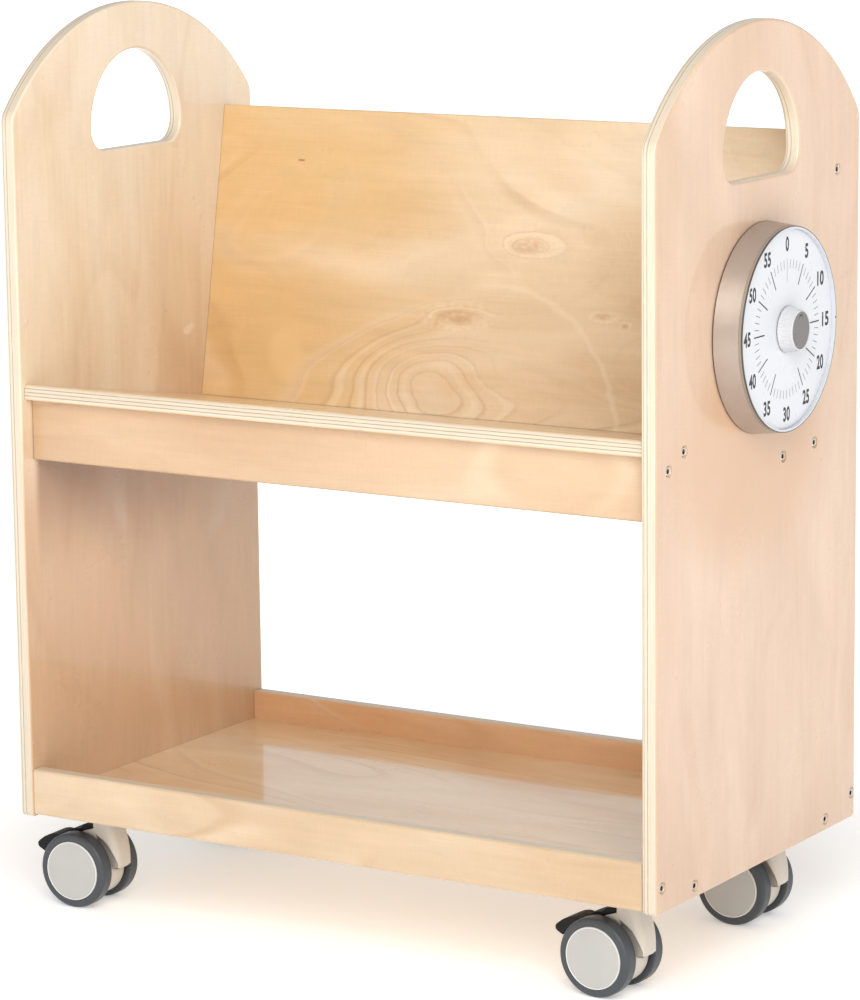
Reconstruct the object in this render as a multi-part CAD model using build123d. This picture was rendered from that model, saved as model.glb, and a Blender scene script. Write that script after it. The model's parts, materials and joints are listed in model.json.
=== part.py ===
"""Mobile book cart: a birch plywood cart on four twin-wheel casters, with a dial timer on one side.

Millimetres.  +X runs along the cart's length, +Y points from the open front to the back and +Z is
up.  The body is drawn about X = 0.  The timer stands proud of one side only, so main() moves every
piece along X until the origin is on the floor at the middle of the whole object's footprint.
"""
import os
from math import cos, radians, sin, sqrt, tan

from build123d import *

# ---------------------------------------------------------------- driving dimensions
BOARD = 15.0                    # plywood thickness, all boards
CART_WIDTH = 710.0              # over both side panels
CART_DEPTH = 400.0              # front to back
PANEL_BOTTOM = 98.0             # floor to the side panels' lower edge
PANEL_HEIGHT = 784.0            # lower edge to the crown of the arch
ARCH_RADIUS = 252.0             # crown of each side panel
SHOULDER_RADIUS = 20.0          # where the arch meets the straight edges
PANEL_CORNER_RADIUS = 5.0
EDGE_ROUND = 2.6                # eased plywood edges

HANDLE_RADIUS = 74.0            # round top of the hand hole
HANDLE_CORNER_RADIUS = 22.0     # its two lower corners
HANDLE_CENTRE = 663.5           # above the panel's lower edge
HANDLE_EDGE_ROUND = 3.0

SHELF_TILT = 10.0               # upper shelf slopes down to the back, back panel leans with it
VALLEY_Y = 100.0                # where the shelf's top meets the back panel's face
VALLEY_Z = PANEL_BOTTOM + 377.0
SHELF_LENGTH = 297.5            # down the slope, front edge to back panel
BACK_HEIGHT = 298.0             # back panel above the shelf's top
SHELF_EDGE_ROUND = 3.5

APRON_RECESS = 16.0             # apron's face behind the side panels' front edge
APRON_BOTTOM = PANEL_BOTTOM + 353.5

LOWER_SHELF_BOTTOM = PANEL_BOTTOM + 4.0
LOWER_SHELF_TOP = LOWER_SHELF_BOTTOM + BOARD
LIP_BOTTOM = PANEL_BOTTOM + 2.5
LIP_TOP = PANEL_BOTTOM + 48.0
LIP_SCREW_DEPTH = 10.0          # screws behind each lip's front face
FRONT_LIP_RECESS = 1.5
REAR_LIP_RECESS = 2.0

SCREW_RADIUS = 3.5              # connecting screws through the side panels
SCREW_LENGTH = 50.0
SCREW_TIP_LENGTH = 4.0
SCREW_TIP_RADIUS = 1.0
SCREW_HEAD_RADIUS = 5.8
SCREW_HEAD_DEPTH = 4.0
SCREW_SUNK = 1.0                # head below the panel's face
SCREW_ROUND = 1.5               # rounded rim of the head
SCREW_SOCKET = 4.6              # hex socket across flats
SCREW_SOCKET_DEPTH = 3.0
DOWEL_RADIUS = 4.0
DOWEL_LENGTH = 30.0
DOWEL_IN_PANEL = 9.0            # how far a dowel enters a side panel
FIT_GAP = 0.05                  # radial gap round screws, dowels and pins

WHEEL_RADIUS = 37.5             # 75 mm wheels
WHEEL_OUTER = 32.0              # outer face from the caster's middle plane
WHEEL_INNER = 15.8
HUB_RADIUS = 29.5
HUB_CORE_RADIUS = 28.0
TYRE_OUTER_ROUND = 3.8
TYRE_INNER_ROUND = 1.5
AXLE_RADIUS = 4.0
AXLE_HALF_LENGTH = 28.0
PRESSED_GAP = 0.01              # radial gap of a pin pressed into plastic
KINGPIN_OFFSET = 26.0           # kingpin ahead of the axle
KINGPIN_RADIUS = 5.0
KINGPIN_BOTTOM = 60.0           # above the floor
COLLAR_RADIUS = 6.2             # collar near the kingpin's foot that holds the housing up
COLLAR_BOTTOM = 64.0
COLLAR_HEIGHT = 3.0
COLLAR_GAP = 0.4                # clearance round the collar
KINGPIN_X = 296.5               # kingpins from the cart's middle
KINGPIN_Y = 133.0
PLATE_SIZE = 58.0
PLATE_THICKNESS = 2.5
PLATE_CORNER_RADIUS = 7.0
PLATE_HOLE_PITCH = 44.0
PLATE_HOLE_RADIUS = 2.4
PLATE_SCREW_RADIUS = 2.2
PLATE_SCREW_LENGTH = 14.0
PLATE_SCREW_HEAD_RADIUS = 4.4
PLATE_SCREW_HEAD_HEIGHT = 2.2
PLATE_SCREW_SLOT = (4.6, 1.0, 2.4)
BEARING_THICKNESS = 2.0
BEARING_RADIUS = 16.0
HOUSING_GAP = 0.3               # housing below the bearing ring
HOUSING_TOP = LOWER_SHELF_BOTTOM - PLATE_THICKNESS - BEARING_THICKNESS - HOUSING_GAP
HOUSING_HALF_WIDTH = 13.0       # drum between the wheels
HOUSING_DRUM_RADIUS = 32.0
COLUMN_HALF_WIDTH = 14.3        # column of the housing round the kingpin
COLUMN_BACK = 15.0              # its back face, ahead of the axle
COLUMN_ROUND = 8.0              # its two front corners in plan
CHEEK_HALF_WIDTH = 8.0          # where its sides are set back beside the wheels
PEDAL_HALF_WIDTH = 14.0
PEDAL_WEB_HALF_WIDTH = 10.0
PEDAL_SLOT_HALF_WIDTH = 10.5
PEDAL_TOE_ROUND = 4.0           # corners of the toe in plan
PEDAL_PIVOT = (-14.0, 25.0)     # ahead of and above the axle
PEDAL_PIN_RADIUS = 2.0

TIMER_Z = PANEL_BOTTOM + 505.0
TIMER_BACK_RADIUS = 97.0
TIMER_FRONT_RADIUS = 94.0
TIMER_DEPTH = 29.0
TIMER_WALL = 2.0
TIMER_BACK_PLATE = 2.5
BEZEL_WIDTH = 3.0
BEZEL_DEPTH = 4.0
DIAL_RECESS = 3.5
DIAL_THICKNESS = 1.5
KNOB_REACH = 40.0               # knob's front from the panel's face
KNOB_BASE_RADIUS = 21.5
KNOB_FRONT_RADIUS = 18.4
KNOB_GAP = 0.6                  # knob off the dial
CAP_RADIUS = 17.0
CAP_THICKNESS = 2.0
SPINDLE_RADIUS = 3.0
MOVEMENT_RADIUS = 30.0

# Name of each caster: kingpin's side in X and Y, its resting yaw in degrees, and whether it brakes.
CASTERS = {
    "front_left": (-1, -1, 2.3, True),
    "front_right": (1, -1, -3.4, True),
    "rear_left": (-1, 1, 1.5, False),
    "rear_right": (1, 1, -1.0, False),
}

# ---------------------------------------------------------------- worked-out places
HALF_WIDTH = CART_WIDTH / 2
HALF_DEPTH = CART_DEPTH / 2
INNER_X = HALF_WIDTH - BOARD
SHOULDER_Z = PANEL_BOTTOM + PANEL_HEIGHT - ARCH_RADIUS + sqrt(ARCH_RADIUS**2 - HALF_DEPTH**2)
SHELF_PLANE = Plane(
    origin=(0, VALLEY_Y, VALLEY_Z),
    x_dir=(1, 0, 0),
    z_dir=(0, sin(radians(SHELF_TILT)), cos(radians(SHELF_TILT))),
)
APRON_FRONT = -HALF_DEPTH + APRON_RECESS
FRONT_LIP_FRONT = -HALF_DEPTH + FRONT_LIP_RECESS
REAR_LIP_BACK = HALF_DEPTH - REAR_LIP_RECESS
LIP_SCREW_Z = PANEL_BOTTOM + 24.5
LIP_DOWEL_Z = PANEL_BOTTOM + 39.0
LOWER_SHELF_MID = (LOWER_SHELF_BOTTOM + LOWER_SHELF_TOP) / 2
WHEEL_Z = WHEEL_RADIUS
DIAL_FRONT = TIMER_DEPTH - DIAL_RECESS


def on_shelf(back, up):
    """(Y, Z) of a point a distance back down the slope and up off the shelf's top."""
    point = SHELF_PLANE.from_local_coords(Vector(0, back, up))
    return point.Y, point.Z


def shelf_underside(y):
    """Height of the upper shelf's underside at a given Y."""
    tilt = radians(SHELF_TILT)
    return VALLEY_Z + (VALLEY_Y - y) * tan(tilt) - BOARD / cos(tilt)


# (Y, Z) of the screws and dowels that run along X from each side panel into a board's end.
SIDE_SCREWS = [
    (APRON_FRONT + BOARD / 2, PANEL_BOTTOM + 400.0),
    on_shelf(-250.0, -BOARD / 2),
    on_shelf(-55.0, -BOARD / 2),
    on_shelf(BOARD / 2, 7.0),
    on_shelf(BOARD / 2, 263.0),
    (FRONT_LIP_FRONT + LIP_SCREW_DEPTH, LIP_SCREW_Z),
    (REAR_LIP_BACK - BOARD + LIP_SCREW_DEPTH, LIP_SCREW_Z),
    (-127.0, LOWER_SHELF_MID),
    (137.0, LOWER_SHELF_MID),
]
SIDE_DOWELS = [
    (APRON_FRONT + BOARD / 2, APRON_BOTTOM + 20.0),
    on_shelf(-150.0, -BOARD / 2),
    on_shelf(BOARD / 2, 135.0),
    (FRONT_LIP_FRONT + BOARD / 2, LIP_DOWEL_Z),
    (REAR_LIP_BACK - BOARD / 2, LIP_DOWEL_Z),
    (5.0, LOWER_SHELF_MID),
]
INNER_DOWEL_XS = (-240.0, 0.0, 240.0)
PLATE_HOLES = [(sx * PLATE_HOLE_PITCH / 2, sy * PLATE_HOLE_PITCH / 2) for sx in (-1, 1) for sy in (-1, 1)]


# ---------------------------------------------------------------- small helpers
def block(x_range, y_range, z_range):
    """A rectangular block between two corners."""
    sizes = [high - low for low, high in (x_range, y_range, z_range)]
    middle = [(low + high) / 2 for low, high in (x_range, y_range, z_range)]
    return Pos(*middle) * Box(*sizes)


def rod(start, direction, radius, length):
    """A cylinder that starts at a point and runs along a direction."""
    bottom = (Align.CENTER, Align.CENTER, Align.MIN)
    return Plane(origin=start, z_dir=direction) * Cylinder(radius, length, align=bottom)


def cone(start, direction, radius, end_radius, length):
    """A cone that starts at a point and runs along a direction."""
    bottom = (Align.CENTER, Align.CENTER, Align.MIN)
    return Plane(origin=start, z_dir=direction) * Cone(radius, end_radius, length, align=bottom)


def plate_from(points, plane, half_width):
    """A polygon on a plane, made into a slab that is centred on the plane."""
    face = plane.offset(-half_width) * make_face(Polyline(*points, close=True))
    return extrude(face, amount=2 * half_width)


def turned(section, axis):
    """A closed outline in the XZ plane turned once about an axis."""
    return revolve(Plane.XZ * make_face(Polyline(*section, close=True)), axis=axis)


def edges_along(shape, direction, at, tolerance=0.01):
    """Straight edges parallel to an axis whose middle has the given coordinates."""
    wanted = []
    for edge in shape.edges().filter_by(direction):
        middle = edge.position_at(0.5)
        if all(abs(getattr(middle, name) - value) < tolerance for name, value in at.items()):
            wanted.append(edge)
    return wanted


# ---------------------------------------------------------------- joinery
def side_screw(side, y, z):
    """One countersunk connecting screw that enters a side panel's outer face."""
    inward = (-side, 0, 0)
    face_x = side * (HALF_WIDTH - SCREW_SUNK)
    neck_x = face_x - side * SCREW_HEAD_DEPTH
    shank_length = SCREW_LENGTH - SCREW_HEAD_DEPTH - SCREW_TIP_LENGTH
    tip_x = neck_x - side * shank_length
    screw = cone((face_x, y, z), inward, SCREW_HEAD_RADIUS, SCREW_RADIUS, SCREW_HEAD_DEPTH)
    rims = [edge for edge in screw.edges().filter_by(GeomType.CIRCLE)
            if abs(edge.arc_center.X - face_x) < 0.01]
    screw = fillet(rims, SCREW_ROUND)
    screw += rod((neck_x, y, z), inward, SCREW_RADIUS, shank_length)
    screw += cone((tip_x, y, z), inward, SCREW_RADIUS, SCREW_TIP_RADIUS, SCREW_TIP_LENGTH)
    hexagon = RegularPolygon(SCREW_SOCKET / 2, 6, major_radius=False)
    socket = Plane(origin=(face_x, y, z), z_dir=inward) * hexagon
    return screw - extrude(socket, amount=SCREW_SOCKET_DEPTH)


def side_screw_hole(side, y, z):
    """The countersunk hole for one connecting screw, through the panel and into the board."""
    inward = (-side, 0, 0)
    face_x = side * (HALF_WIDTH - SCREW_SUNK)
    gap = FIT_GAP
    hole = rod((side * HALF_WIDTH, y, z), inward, SCREW_HEAD_RADIUS + gap, SCREW_SUNK)
    hole += cone((face_x, y, z), inward, SCREW_HEAD_RADIUS + gap, SCREW_RADIUS + gap, SCREW_HEAD_DEPTH)
    hole += rod((face_x, y, z), inward, SCREW_RADIUS + gap, SCREW_LENGTH + 1.0)
    return hole


def side_dowel(side, y, z, gap=0.0):
    """One wooden dowel between a side panel and a board's end, or its hole if a gap is given."""
    start_x = side * (INNER_X + DOWEL_IN_PANEL + 4 * gap)
    return rod((start_x, y, z), (-side, 0, 0), DOWEL_RADIUS + gap, DOWEL_LENGTH + 8 * gap)


def inner_dowels(gap=0.0):
    """Dowels that join the boards to each other: lips and apron to shelves, back panel to shelf."""
    radius = DOWEL_RADIUS + gap
    length = DOWEL_LENGTH + 8 * gap
    half = length / 2
    front_seam = FRONT_LIP_FRONT + BOARD
    rear_seam = REAR_LIP_BACK - BOARD
    lip_reach = DOWEL_IN_PANEL + 4 * gap
    apron_y = APRON_FRONT + BOARD / 2
    apron_seam = shelf_underside(apron_y)
    dowels = []
    for x in INNER_DOWEL_XS:
        dowels.append(rod((x, front_seam - lip_reach, LOWER_SHELF_MID), (0, 1, 0), radius, length))
        dowels.append(rod((x, rear_seam + lip_reach, LOWER_SHELF_MID), (0, -1, 0), radius, length))
        down = (0, 0, -1)
        dowels.append(rod((x, apron_y, apron_seam + lip_reach), down, radius, length))
        y, z = on_shelf(lip_reach, -BOARD / 2)
        up_slope = (0, -cos(radians(SHELF_TILT)), sin(radians(SHELF_TILT)))
        dowels.append(rod((x, y, z), up_slope, radius, length))
    return dowels


def drilled(board, sides=(-1, 1), screws=SIDE_SCREWS, dowels=SIDE_DOWELS, inner=True):
    """A board with the screw and dowel holes that pass into it."""
    box = board.bounding_box()
    tools = []
    for side in sides:
        tools += [side_screw_hole(side, y, z) for y, z in screws]
        tools += [side_dowel(side, y, z, FIT_GAP) for y, z in dowels]
    if inner:
        tools += inner_dowels(FIT_GAP)
    for tool in tools:
        reach = tool.bounding_box()
        apart = (
            reach.min.X > box.max.X or reach.max.X < box.min.X
            or reach.min.Y > box.max.Y or reach.max.Y < box.min.Y
            or reach.min.Z > box.max.Z or reach.max.Z < box.min.Z
        )
        if not apart:
            board -= tool
    return board


# ---------------------------------------------------------------- plywood body
def handle_outline():
    """The hand hole: a round top on a flat bottom with rounded corners, as (Y, Z)."""
    bottom = HANDLE_CENTRE - HANDLE_CORNER_RADIUS
    half_flat = HANDLE_RADIUS - HANDLE_CORNER_RADIUS
    top = ThreePointArc((HANDLE_RADIUS, HANDLE_CENTRE), (0, HANDLE_CENTRE + HANDLE_RADIUS),
                        (-HANDLE_RADIUS, HANDLE_CENTRE))
    left = RadiusArc((-HANDLE_RADIUS, HANDLE_CENTRE), (-half_flat, bottom), -HANDLE_CORNER_RADIUS)
    flat = Line((-half_flat, bottom), (half_flat, bottom))
    right = RadiusArc((half_flat, bottom), (HANDLE_RADIUS, HANDLE_CENTRE), -HANDLE_CORNER_RADIUS)
    return Pos(0, PANEL_BOTTOM) * make_face(top + left + flat + right)


def side_panel(side):
    """One arched side panel with its hand hole; side is -1 for left, 1 for right."""
    crown = (0, PANEL_BOTTOM + PANEL_HEIGHT)
    legs = Polyline((-HALF_DEPTH, SHOULDER_Z), (-HALF_DEPTH, PANEL_BOTTOM),
                    (HALF_DEPTH, PANEL_BOTTOM), (HALF_DEPTH, SHOULDER_Z))
    arch = ThreePointArc((HALF_DEPTH, SHOULDER_Z), crown, (-HALF_DEPTH, SHOULDER_Z))
    outline = make_face(legs + arch)
    shoulders = outline.vertices().group_by(Axis.Y)[-1]
    outline = fillet(shoulders, SHOULDER_RADIUS)
    feet = outline.vertices().group_by(Axis.Y)[0]
    outline = fillet(feet, PANEL_CORNER_RADIUS)
    inner = Plane.YZ.offset(side * INNER_X)
    panel = extrude(inner * outline, amount=side * BOARD)
    rim = [edge for face in (panel.faces().sort_by(Axis.X)[0], panel.faces().sort_by(Axis.X)[-1])
           for edge in face.edges()]
    panel = fillet(rim, EDGE_ROUND)
    hole = extrude(inner.offset(-side) * handle_outline(), amount=side * (BOARD + 2))
    panel -= hole
    inside = [edge for edge in panel.edges() if hand_hole_edge(edge)]
    panel = fillet(inside, HANDLE_EDGE_ROUND)
    panel = drilled(panel, sides=(side,), inner=False)
    return panel - timer_screws(FIT_GAP) if side > 0 else panel


def hand_hole_edge(edge):
    """True for the edges round the hand hole on a panel's two faces."""
    middle = edge.position_at(0.5)
    on_face = min(abs(abs(middle.X) - INNER_X), abs(abs(middle.X) - HALF_WIDTH)) < 0.01
    height = middle.Z - PANEL_BOTTOM
    low = HANDLE_CENTRE - HANDLE_CORNER_RADIUS - 1
    high = HANDLE_CENTRE + HANDLE_RADIUS + 1
    return on_face and low < height < high and abs(middle.Y) < HANDLE_RADIUS + 1


def upper_shelf():
    """Sloping shelf that the books stand on, with a rounded front edge."""
    board = block((-INNER_X, INNER_X), (-SHELF_LENGTH, 0), (-BOARD, 0))
    front = edges_along(board, Axis.X, {"Y": -SHELF_LENGTH})
    board = fillet(front, SHELF_EDGE_ROUND)
    return drilled(SHELF_PLANE * board)


def back_panel():
    """Leaning back rest, square to the upper shelf, with an eased top edge."""
    board = block((-INNER_X, INNER_X), (0, BOARD), (-BOARD, BACK_HEIGHT))
    top = edges_along(board, Axis.X, {"Z": BACK_HEIGHT})
    board = fillet(top, EDGE_ROUND)
    return drilled(SHELF_PLANE * board)


def upper_apron():
    """Rail under the front of the upper shelf, bevelled to meet the shelf's underside."""
    front = APRON_FRONT
    back = APRON_FRONT + BOARD
    section = [(front, APRON_BOTTOM), (back, APRON_BOTTOM),
               (back, shelf_underside(back)), (front, shelf_underside(front))]
    rail = plate_from(section, Plane.YZ, INNER_X)
    eased = edges_along(rail, Axis.X, {"Z": APRON_BOTTOM})
    eased += edges_along(rail, Axis.Z, {"Y": front})
    return drilled(fillet(eased, EDGE_ROUND))


def lower_shelf():
    """Flat bottom shelf between the two lips."""
    depth = (FRONT_LIP_FRONT + BOARD, REAR_LIP_BACK - BOARD)
    board = block((-INNER_X, INNER_X), depth, (LOWER_SHELF_BOTTOM, LOWER_SHELF_TOP))
    board = drilled(board)
    for screw in caster_screws(FIT_GAP):
        board -= screw
    return board


def lip(front):
    """A low rail in front of or behind the lower shelf, with eased top and bottom edges."""
    board = block((-INNER_X, INNER_X), (front, front + BOARD), (LIP_BOTTOM, LIP_TOP))
    eased = board.edges().filter_by(Axis.X)
    return drilled(fillet(eased, EDGE_ROUND))


def side_screws():
    """All the connecting screws of both side panels."""
    return [side_screw(side, y, z) for side in (-1, 1) for y, z in SIDE_SCREWS]


def wooden_dowels():
    """All the dowels in the body."""
    dowels = [side_dowel(side, y, z) for side in (-1, 1) for y, z in SIDE_DOWELS]
    return dowels + inner_dowels()


# ---------------------------------------------------------------- casters
# A caster is drawn with its kingpin on the Z axis, its axle behind it on -X and the floor at Z = 0.
AXLE_X = -KINGPIN_OFFSET


def beside_axle(ahead, up):
    """(X, Z) in the caster's frame of a point ahead of and above the axle."""
    return AXLE_X + ahead, WHEEL_Z + up


def caster_location(name):
    """Where a caster stands under the cart, with its resting yaw."""
    side_x, side_y, yaw, _ = CASTERS[name]
    return Pos(side_x * KINGPIN_X, side_y * KINGPIN_Y, 0) * Rot(0, 0, yaw)


def caster_plate():
    """Square mounting plate with four screw holes."""
    low = LOWER_SHELF_BOTTOM - PLATE_THICKNESS
    half = PLATE_SIZE / 2
    plate = block((-half, half), (-half, half), (low, LOWER_SHELF_BOTTOM))
    plate = fillet(plate.edges().filter_by(Axis.Z), PLATE_CORNER_RADIUS)
    for x, y in PLATE_HOLES:
        plate -= rod((x, y, low - 1), (0, 0, 1), PLATE_HOLE_RADIUS, PLATE_THICKNESS + 2)
    return plate - rod((0, 0, low - 1), (0, 0, 1), KINGPIN_RADIUS + PRESSED_GAP, PLATE_THICKNESS + 2)


def kingpin():
    """Rivet fixed in the plate, with a collar that holds the housing up."""
    pin = rod((0, 0, KINGPIN_BOTTOM), (0, 0, 1), KINGPIN_RADIUS, LOWER_SHELF_BOTTOM - KINGPIN_BOTTOM)
    return pin + rod((0, 0, COLLAR_BOTTOM), (0, 0, 1), COLLAR_RADIUS, COLLAR_HEIGHT)


def swivel_bearing():
    """Thrust ring between the plate and the housing."""
    low = LOWER_SHELF_BOTTOM - PLATE_THICKNESS - BEARING_THICKNESS
    ring = rod((0, 0, low), (0, 0, 1), BEARING_RADIUS, BEARING_THICKNESS)
    return ring - rod((0, 0, low - 1), (0, 0, 1), KINGPIN_RADIUS + FIT_GAP, BEARING_THICKNESS + 2)


# Side views, as points ahead of and above the axle.
COLUMN_FRONTS = ((42.4, 0.0), (42.8, 9.0), (41.3, 25.0), (38.1, 38.0), (35.5, HOUSING_TOP - WHEEL_Z))
COLUMN_CHIN = ((15, 70), (60, 70), (60, 10), (42.9, 8), (42.0, 4.5), (40.4, 1.8), (38, 0.3), (32, 0.3),
               (24, 4), (15, 10))
COLUMN_SETBACK = ((10, 36.5), (16.5, 36.4), (21, 33.6), (27, 30), (31.7, 26), (35.4, 21), (39, 14.2),
                  (41, 7.5), (41, 2), (30, 0), (10, 10))
HOUSING_RAMP = ((0, 28), (2, 37), (15, 41.3), (18, 41.3), (18, 30))
PEDAL_SLOT = ((-45, 7), (-14, 7), (-9, 12), (11.5, 30), (11.5, 45), (-45, 45))
PEDAL_TOE = ((-28, 26), (-24.5, 29.4), (-32, 30), (-38, 28.8), (-44, 26), (-50, 21.5), (-54, 17.6),
             (-54.2, 16.6), (-50, 13.8), (-44.5, 11), (-38, 13), (-33, 20))
PEDAL_RELEASE = ((-7, 35.2), (-3, 37.8), (1, 41.6), (4, 44.3), (9, 45), (14.6, 44.6), (14.6, 42.3),
                 (5, 39.2), (-5, 35.7))
PEDAL_WEB = ((-37, 20), (-35, 24), (-28, 27.5), (-20, 33.3), (-12, 37), (-3, 38.7), (4, 41), (4, 36),
             (-6, 26), (-10, 19.5), (-17, 18), (-31, 17))
# Front view of the column's chin, as points across from its middle and above the axle.
CHIN_ACROSS = ((COLUMN_HALF_WIDTH, 70), (COLUMN_HALF_WIDTH, 13), (13.4, 7), (11.0, 2.6), (6.5, -0.2))


def caster_slab(points, half_width):
    """A slab whose side view is given as points ahead of and above the axle."""
    return plate_from([beside_axle(*point) for point in points], Plane.XZ, half_width)


def caster_bore(ahead, up, radius, half_width):
    """A rod across the caster, centred ahead of and above the axle."""
    x, z = beside_axle(ahead, up)
    return rod((x, -half_width, z), (0, 1, 0), radius, 2 * half_width)


def column_section(ahead, up):
    """Plan view of the column at one height: square back and rounded front corners."""
    back, _ = beside_axle(COLUMN_BACK, up)
    front, z = beside_axle(ahead, up)
    half = COLUMN_HALF_WIDTH
    outline = make_face(Polyline((back, -half), (front, -half), (front, half), (back, half), close=True))
    outline = fillet(outline.vertices().group_by(Axis.X)[-1], COLUMN_ROUND)
    return Plane.XY.offset(z) * outline


def housing_column():
    """Column round the kingpin: leaning front, rounded chin, sides set back beside the wheels."""
    column = loft([column_section(ahead, up) for ahead, up in COLUMN_FRONTS])
    column &= caster_slab(COLUMN_CHIN, COLUMN_HALF_WIDTH)
    chin = [(side * across, WHEEL_Z + up) for side, points in ((1, CHIN_ACROSS), (-1, CHIN_ACROSS[::-1]))
            for across, up in points]
    column &= plate_from(chin, Plane.YZ, 60.0)
    depth = COLUMN_HALF_WIDTH - CHEEK_HALF_WIDTH + 1
    for side in (-1, 1):
        middle = side * (CHEEK_HALF_WIDTH + depth / 2)
        column -= Pos(0, middle, 0) * caster_slab(COLUMN_SETBACK, depth / 2)
    return column


def caster_housing(braked):
    """Plastic body between the wheels: a drum round the axle, a ramp on top and the column."""
    housing = caster_bore(0, 0, HOUSING_DRUM_RADIUS, HOUSING_HALF_WIDTH) + housing_column()
    housing += caster_slab(HOUSING_RAMP, COLUMN_HALF_WIDTH)
    if braked:
        housing -= caster_slab(PEDAL_SLOT, PEDAL_SLOT_HALF_WIDTH)
        housing -= caster_bore(*PEDAL_PIVOT, PEDAL_PIN_RADIUS + PRESSED_GAP, COLUMN_HALF_WIDTH)
    housing -= caster_bore(0, 0, AXLE_RADIUS + PRESSED_GAP, COLUMN_HALF_WIDTH)
    bore_bottom = KINGPIN_BOTTOM - 1
    housing -= rod((0, 0, bore_bottom), (0, 0, 1), KINGPIN_RADIUS + FIT_GAP, HOUSING_TOP - bore_bottom)
    return housing - rod((0, 0, COLLAR_BOTTOM - COLLAR_GAP), (0, 0, 1),
                         COLLAR_RADIUS + COLLAR_GAP, COLLAR_HEIGHT + 2 * COLLAR_GAP)


def axle():
    """Steel axle through the housing and into both wheels."""
    return caster_bore(0, 0, AXLE_RADIUS, AXLE_HALF_LENGTH)


def wheel_axis():
    """The axle line of a caster, for turned wheel parts."""
    return Axis((AXLE_X, 0, WHEEL_Z), (0, 1, 0))


def wheel_section(points, side):
    """A wheel part turned from (distance from the middle plane, radius) points."""
    outline = [(side * across, WHEEL_Z + radius) for across, radius in points]
    face = Plane(origin=(AXLE_X, 0, 0), x_dir=(0, 1, 0), z_dir=(1, 0, 0)) * make_face(
        Polyline(*outline, close=True))
    return revolve(face, axis=wheel_axis())


def wheel_hub(side):
    """Plastic wheel centre: closed outer disc, ring that holds the tyre and a bored boss."""
    bore = AXLE_RADIUS + FIT_GAP
    disc = WHEEL_OUTER - 3.0
    points = [
        (WHEEL_INNER, bore), (WHEEL_INNER, 9.0), (disc, 9.0), (disc, HUB_CORE_RADIUS - 3.0),
        (WHEEL_INNER + 0.4, HUB_CORE_RADIUS - 3.0), (WHEEL_INNER + 0.4, HUB_CORE_RADIUS),
        (WHEEL_OUTER - 1.4, HUB_CORE_RADIUS), (WHEEL_OUTER - 1.4, HUB_RADIUS),
        (WHEEL_OUTER, HUB_RADIUS - 0.4), (WHEEL_OUTER, HUB_RADIUS - 1.2),
        (WHEEL_OUTER - 0.4, HUB_RADIUS - 1.8), (WHEEL_OUTER - 0.4, 0.0), (disc, 0.0),
        (disc, bore),
    ]
    return wheel_section(points, side)


def tyre(side):
    """Soft tread ring with a large round on its outer shoulder."""
    inner = WHEEL_INNER + 0.2
    outer = WHEEL_OUTER - 0.8
    core = HUB_CORE_RADIUS + 0.02
    seat = WHEEL_OUTER - 1.5
    points = [(inner, core), (inner, WHEEL_RADIUS), (outer, WHEEL_RADIUS),
              (outer, HUB_RADIUS + 0.1), (seat, HUB_RADIUS + 0.1), (seat, core)]
    ring = wheel_section(points, side)
    tread_edges = [edge for edge in ring.edges().filter_by(GeomType.CIRCLE)
                   if abs(edge.radius - WHEEL_RADIUS) < 0.01]
    outer_edges = [edge for edge in tread_edges if abs(abs(edge.arc_center.Y) - outer) < 0.01]
    inner_edges = [edge for edge in tread_edges if abs(abs(edge.arc_center.Y) - inner) < 0.01]
    ring = fillet(outer_edges, TYRE_OUTER_ROUND)
    inner_edges = [edge for edge in ring.edges().filter_by(GeomType.CIRCLE)
                   if abs(edge.radius - WHEEL_RADIUS) < 0.01
                   and abs(abs(edge.arc_center.Y) - inner) < 0.01]
    return fillet(inner_edges, TYRE_INNER_ROUND)


def toe_corner_cutter(side):
    """What is cut away to round one corner of the pedal's toe in plan view."""
    tip_x = AXLE_X + min(ahead for ahead, _ in PEDAL_TOE)
    inner_x = tip_x + PEDAL_TOE_ROUND
    inner_y = side * (PEDAL_HALF_WIDTH - PEDAL_TOE_ROUND)
    outer_y = side * (PEDAL_HALF_WIDTH + 1)
    corner = block((tip_x - 1, inner_x), sorted((inner_y, outer_y)), (WHEEL_Z, WHEEL_Z + 40))
    return corner - rod((inner_x, inner_y, WHEEL_Z - 1), (0, 0, 1), PEDAL_TOE_ROUND, 45.0)


def brake_pedal():
    """Rocker pedal: a toe behind the wheels, a release lobe on top, both on a narrow web."""
    pedal = caster_slab(PEDAL_TOE, PEDAL_HALF_WIDTH)
    pedal -= toe_corner_cutter(1) + toe_corner_cutter(-1)
    pedal += caster_slab(PEDAL_RELEASE, PEDAL_HALF_WIDTH)
    pedal += caster_slab(PEDAL_WEB, PEDAL_WEB_HALF_WIDTH)
    return pedal - caster_bore(*PEDAL_PIVOT, PEDAL_PIN_RADIUS + FIT_GAP, PEDAL_HALF_WIDTH)


def pedal_pin():
    """Pivot pin held in the housing's two cheeks."""
    return caster_bore(*PEDAL_PIVOT, PEDAL_PIN_RADIUS, HOUSING_HALF_WIDTH)


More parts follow.
